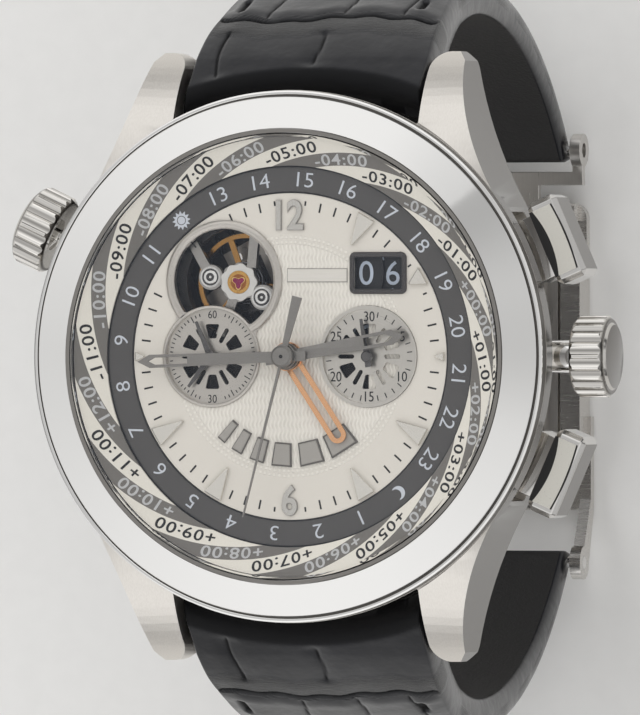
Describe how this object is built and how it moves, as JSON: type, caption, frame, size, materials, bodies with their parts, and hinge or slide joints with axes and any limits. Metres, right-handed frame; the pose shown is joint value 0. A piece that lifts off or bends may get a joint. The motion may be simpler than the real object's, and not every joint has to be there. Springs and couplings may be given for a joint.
{
  "type": "wristwatch",
  "caption": "World time chronograph wristwatch with an open balance, rotating city and 24 hour rings, crowns, pushers and a closed leather strap on a folding clasp.",
  "frame": {"origin": "centre of the outer face of the back glass", "axes": "+Z out through the dial, +Y towards 12 o'clock, +X towards 3 o'clock"},
  "size_m": [0.0543, 0.0668, 0.0636],
  "materials": {
    "brushed_steel": "fine brushed stainless steel",
    "polished_steel": "polished stainless steel",
    "sapphire": "clear sapphire with a low reflection coat",
    "black_rubber": "matt gasket rubber",
    "silver_dial": "silvered dial with a fine engine turned centre",
    "silver_rim": "silvered metal, satin",
    "dark_marker": "dark facetted marker",
    "dark_frame": "dark frame",
    "grey_block": "matt grey applied block",
    "nickel_plate": "nickel plated brass",
    "gilt": "gilt brass",
    "ruby": "synthetic ruby",
    "blued_steel": "spring steel",
    "hand_steel": "grey satin hand",
    "hand_dark": "dark grey hand",
    "ring_grey": "dark grey sunburst ring",
    "rose_gold": "rose gold",
    "city_cream": "printed ring in cream and dark grey",
    "date_black": "matt black disc",
    "black_leather": "glossy black grained leather"
  },
  "bodies": {
    "case": {"case_middle": "brushed_steel", "bezel": "polished_steel", "crystal": "sapphire", "gaskets": "black_rubber", "case_back": "brushed_steel", "back_glass": "sapphire", "movement_ring": "nickel_plate", "spring_bars": "polished_steel", "stem_tubes": "polished_steel", "dial": "silver_dial", "heart_frame": "silver_rim", "minute_counter": "silver_rim", "hour_markers": "dark_marker", "date_frame": "dark_frame", "reserve_blocks": "grey_block", "main_plate": "nickel_plate", "train_bridge": "nickel_plate", "balance_bridge": "nickel_plate", "bridge_screws": "polished_steel", "shock_setting": "gilt", "cap_jewel": "ruby", "shock_spring": "gilt", "hairspring": "blued_steel", "rotor_bearing": "polished_steel"},
    "minute_hand": {"minute_hand": "hand_steel", "centre_wheel": "gilt"},
    "hour_hand": {"hour_hand": "hand_steel"},
    "hour_24_ring": {"hour_24_ring": "ring_grey"},
    "chrono_seconds": {"chrono_seconds_hand": "hand_steel"},
    "minute_counter_hand": {"minute_counter_hand": "hand_dark"},
    "power_reserve_hand": {"power_reserve_hand": "rose_gold"},
    "small_seconds": {"small_seconds_hand": "hand_dark", "fourth_wheel": "gilt"},
    "third_wheel": {"third_wheel": "gilt"},
    "escape_wheel": {"escape_wheel": "polished_steel"},
    "pallet_fork": {"pallet_fork": "polished_steel"},
    "balance": {"balance_wheel": "gilt"},
    "barrel": {"barrel": "gilt"},
    "rotor": {"rotor": "nickel_plate"},
    "city_ring": {"city_ring": "city_cream"},
    "crown_10": {"crown_10": "polished_steel", "city_stem": "polished_steel"},
    "setting_lever": {"setting_lever": "polished_steel"},
    "crown_3": {"crown_3": "polished_steel", "winding_stem": "polished_steel"},
    "pusher_2": {"pusher_2": "polished_steel"},
    "pusher_4": {"pusher_4": "polished_steel"},
    "date_units": {"date_units_disc": "date_black"},
    "date_tens": {"date_tens_disc": "date_black"},
    "strap_12": {"strap_12": "black_leather", "clasp_bar_12": "polished_steel"},
    "strap_6": {"strap_6": "black_leather", "clasp_cover": "polished_steel", "cover_pins": "polished_steel"},
    "middle_blade": {"middle_blade": "brushed_steel", "blade_hinge_pin": "polished_steel"},
    "inner_blade": {"inner_blade": "brushed_steel"},
    "button_right": {"clasp_button_right": "polished_steel"},
    "button_left": {"clasp_button_left": "polished_steel"}
  },
  "joints": [
    {"name": "minute_hand_turn", "type": "hinge", "parent": "case", "child": "minute_hand", "pos_m": [0, 0, 0], "axis": [0, 0, -1], "continuous": true},
    {"name": "hour_hand_turn", "type": "hinge", "parent": "case", "child": "hour_hand", "pos_m": [0, 0, 0], "axis": [0, 0, -1], "continuous": true},
    {"name": "hour_24_ring_turn", "type": "hinge", "parent": "case", "child": "hour_24_ring", "pos_m": [0, 0, 0], "axis": [0, 0, 1], "continuous": true},
    {"name": "barrel_turn", "type": "hinge", "parent": "case", "child": "barrel", "pos_m": [0.0062, -0.0068, 0], "axis": [0, 0, -1], "continuous": true},
    {"name": "chrono_seconds_turn", "type": "hinge", "parent": "case", "child": "chrono_seconds", "pos_m": [0, 0, 0], "axis": [0, 0, -1], "continuous": true},
    {"name": "minute_counter_turn", "type": "hinge", "parent": "case", "child": "minute_counter_hand", "pos_m": [0.007, 0, 0], "axis": [0, 0, -1], "continuous": true},
    {"name": "power_reserve_turn", "type": "hinge", "parent": "case", "child": "power_reserve_hand", "pos_m": [0, 0, 0], "axis": [0, 0, -1], "range_deg": [0, 74]},
    {"name": "small_seconds_turn", "type": "hinge", "parent": "case", "child": "small_seconds", "pos_m": [-0.007, 0, 0], "axis": [0, 0, -1], "continuous": true},
    {"name": "third_wheel_turn", "type": "hinge", "parent": "case", "child": "third_wheel", "pos_m": [-0.00433, -0.00157, 0], "axis": [0, 0, -1], "continuous": true},
    {"name": "escape_wheel_turn", "type": "hinge", "parent": "case", "child": "escape_wheel", "pos_m": [-0.00435, 0.0015, 0], "axis": [0, 0, -1], "continuous": true},
    {"name": "pallet_fork_rock", "type": "hinge", "parent": "case", "child": "pallet_fork", "pos_m": [-0.00465, 0.00392, 0], "axis": [0, 0, 1], "range_deg": [-5, 5]},
    {"name": "balance_swing", "type": "hinge", "parent": "case", "child": "balance", "pos_m": [-0.00495, 0.00635, 0], "axis": [0, 0, 1], "range_deg": [-270, 270], "stiffness_Nm_per_rad": 0.000001},
    {"name": "rotor_turn", "type": "hinge", "parent": "case", "child": "rotor", "pos_m": [0, 0, 0], "axis": [0, 0, 1], "continuous": true},
    {"name": "city_ring_turn", "type": "hinge", "parent": "case", "child": "city_ring", "pos_m": [0, 0, 0], "axis": [0, 0, -1], "continuous": true},
    {"name": "crown_10_turn", "type": "hinge", "parent": "case", "child": "crown_10", "pos_m": [0, 0, 0.0065], "axis": [-0.9063, 0.4226, 0], "continuous": true},
    {"name": "crown_3_pull", "type": "slide", "parent": "case", "child": "setting_lever", "axis": [1, 0, 0], "range_m": [0, 0.0012]},
    {"name": "crown_3_turn", "type": "hinge", "parent": "setting_lever", "child": "crown_3", "pos_m": [0, 0, 0.0065], "axis": [1, 0, 0], "continuous": true},
    {"name": "pusher_2_press", "type": "slide", "parent": "case", "child": "pusher_2", "axis": [-0.9171, -0.3987, 0], "range_m": [0, 0.001], "stiffness_N_per_m": 600},
    {"name": "pusher_4_press", "type": "slide", "parent": "case", "child": "pusher_4", "axis": [-0.9171, 0.3987, 0], "range_m": [0, 0.001], "stiffness_N_per_m": 600},
    {"name": "date_units_turn", "type": "hinge", "parent": "case", "child": "date_units", "pos_m": [0.00506, 0.0064, 0], "axis": [0, 0, -1], "continuous": true},
    {"name": "date_tens_turn", "type": "hinge", "parent": "case", "child": "date_tens", "pos_m": [0.00355, 0.00713, 0], "axis": [0, 0, -1], "continuous": true},
    {"name": "strap_12_swing", "type": "hinge", "parent": "case", "child": "strap_12", "pos_m": [0, 0.0243, 0.003], "axis": [1, 0, 0], "range_deg": [0, 30]},
    {"name": "strap_6_swing", "type": "hinge", "parent": "case", "child": "strap_6", "pos_m": [0, -0.0243, 0.003], "axis": [-1, 0, 0], "range_deg": [0, 30]},
    {"name": "middle_blade_fold", "type": "hinge", "parent": "strap_6", "child": "middle_blade", "pos_m": [0, 0.013, -0.0456], "axis": [-1, 0, 0], "range_deg": [0, 60]},
    {"name": "inner_blade_fold", "type": "hinge", "parent": "middle_blade", "child": "inner_blade", "pos_m": [0, -0.013, -0.04495], "axis": [1, 0, 0], "range_deg": [0, 40]},
    {"name": "button_right_press", "type": "slide", "parent": "strap_6", "child": "button_right", "axis": [-1, 0, 0], "range_m": [0, 0.0005], "stiffness_N_per_m": 400},
    {"name": "button_left_press", "type": "slide", "parent": "strap_6", "child": "button_left", "axis": [1, 0, 0], "range_m": [0, 0.0005], "stiffness_N_per_m": 400}
  ],
  "couplings": [
    {"joint": "hour_hand_turn", "follows": "hour_24_ring_turn", "ratio": 2},
    {"joint": "minute_hand_turn", "follows": "hour_24_ring_turn", "ratio": 24},
    {"joint": "barrel_turn", "follows": "hour_24_ring_turn", "ratio": 3.4286},
    {"joint": "minute_counter_turn", "follows": "chrono_seconds_turn", "ratio": 0.033333},
    {"joint": "third_wheel_turn", "follows": "small_seconds_turn", "ratio": -0.26667},
    {"joint": "escape_wheel_turn", "follows": "small_seconds_turn", "ratio": -4.5714},
    {"joint": "crown_10_turn", "follows": "city_ring_turn", "ratio": 12},
    {"joint": "strap_6_swing", "follows": "strap_12_swing", "ratio": 1}
  ]
}
